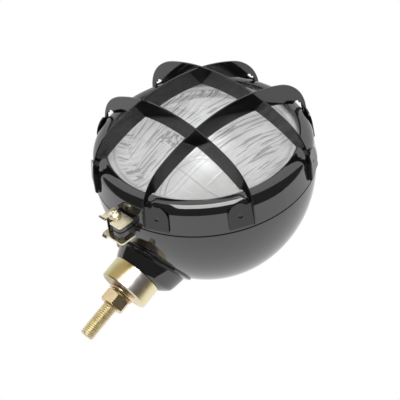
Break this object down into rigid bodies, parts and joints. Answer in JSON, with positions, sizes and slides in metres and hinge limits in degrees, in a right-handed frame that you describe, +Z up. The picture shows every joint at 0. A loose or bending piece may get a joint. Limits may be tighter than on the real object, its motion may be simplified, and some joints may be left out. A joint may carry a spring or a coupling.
{
  "type": "tractor headlight",
  "caption": "Round work headlight with a strip guard over fluted glass, a clamped rim, and a ball-seat stud mount that swivels and tilts.",
  "frame": {"origin": "centre of the free end of the mounting stud", "axes": "+Z up, the glass faces -Y with the optical axis level, +X to the right looking along +Y; the stud leans 22 degrees from the vertical"},
  "size_m": [0.175, 0.1651, 0.2303],
  "materials": {
    "black_paint": "gloss black paint",
    "dark_rubber": "matte black rubber",
    "clear_glass": "pressed clear glass",
    "mirror_coat": "aluminised and polished inside",
    "spring_steel": "plain spring steel",
    "bulb_glass": "thin clear glass",
    "filament_wire": "tungsten coil on plain wires",
    "brass_cap": "bright brass",
    "dark_plastic": "moulded black plastic",
    "zinc_plate": "yellow passivated zinc plate",
    "zinc_cup": "yellow passivated zinc with a faint pink and green sheen",
    "zinc_bronze": "dark yellow passivated zinc"
  },
  "bodies": {
    "mount_stud": {"stud": "zinc_plate"},
    "seat": {"pivot_cup": "zinc_cup", "ball_washer": "spring_steel"},
    "lamp": {"housing": "black_paint", "saddle_bracket": "black_paint", "housing_lug": "black_paint", "cable_grommet": "dark_rubber", "seam_gasket": "dark_rubber", "clamp_plate_lower": "zinc_plate"},
    "front": {"rim": "black_paint", "rim_lug": "black_paint", "guard_strip_right": "black_paint", "guard_strip_left": "black_paint", "guard_strip_top": "black_paint", "guard_strip_bottom": "black_paint", "lens": "clear_glass", "lens_gasket": "dark_rubber", "reflector": "mirror_coat", "retaining_clips": "spring_steel", "bulb_glass": "bulb_glass", "bulb_filament": "filament_wire", "bulb_base": "brass_cap", "bulb_spring_cap": "spring_steel", "bulb_connector": "dark_plastic"},
    "clamp_top": {"clamp_plate_upper": "zinc_plate", "clamp_washer": "zinc_plate"},
    "screw": {"clamp_screw": "zinc_plate"},
    "lock_washer": {"spring_washer": "zinc_bronze"},
    "nut": {"hex_nut": "zinc_bronze"}
  },
  "joints": [
    {"name": "swivel", "type": "hinge", "parent": "mount_stud", "child": "seat", "pos_m": [0, 0, 0], "axis": [0, -0.3746, 0.9272], "continuous": true},
    {"name": "tilt", "type": "hinge", "parent": "seat", "child": "lamp", "pos_m": [0, -0.03615, 0.08947], "axis": [1, 0, 0], "range_deg": [-29, 5]},
    {"name": "rim_off", "type": "slide", "parent": "lamp", "child": "front", "axis": [0, -1, 0], "range_m": [0, 0.08]},
    {"name": "clamp_slide", "type": "slide", "parent": "front", "child": "clamp_top", "axis": [0, -1, 0], "range_m": [0, 0.024]},
    {"name": "clamp_turn", "type": "hinge", "parent": "clamp_top", "child": "screw", "pos_m": [0, 0, 0.04617], "axis": [0, -1, 0], "range_deg": [0, 10801]},
    {"name": "washer_slide", "type": "slide", "parent": "mount_stud", "child": "lock_washer", "axis": [0, 0.3746, -0.9272], "range_m": [0, 0.041]},
    {"name": "nut_turn", "type": "hinge", "parent": "lock_washer", "child": "nut", "pos_m": [0, 0, 0], "axis": [0, 0.3746, -0.9272], "range_deg": [0, 8435]}
  ],
  "couplings": [
    {"joint": "clamp_turn", "follows": "clamp_slide", "rad_per_m": 7854},
    {"joint": "nut_turn", "follows": "washer_slide", "rad_per_m": 3590.4}
  ]
}
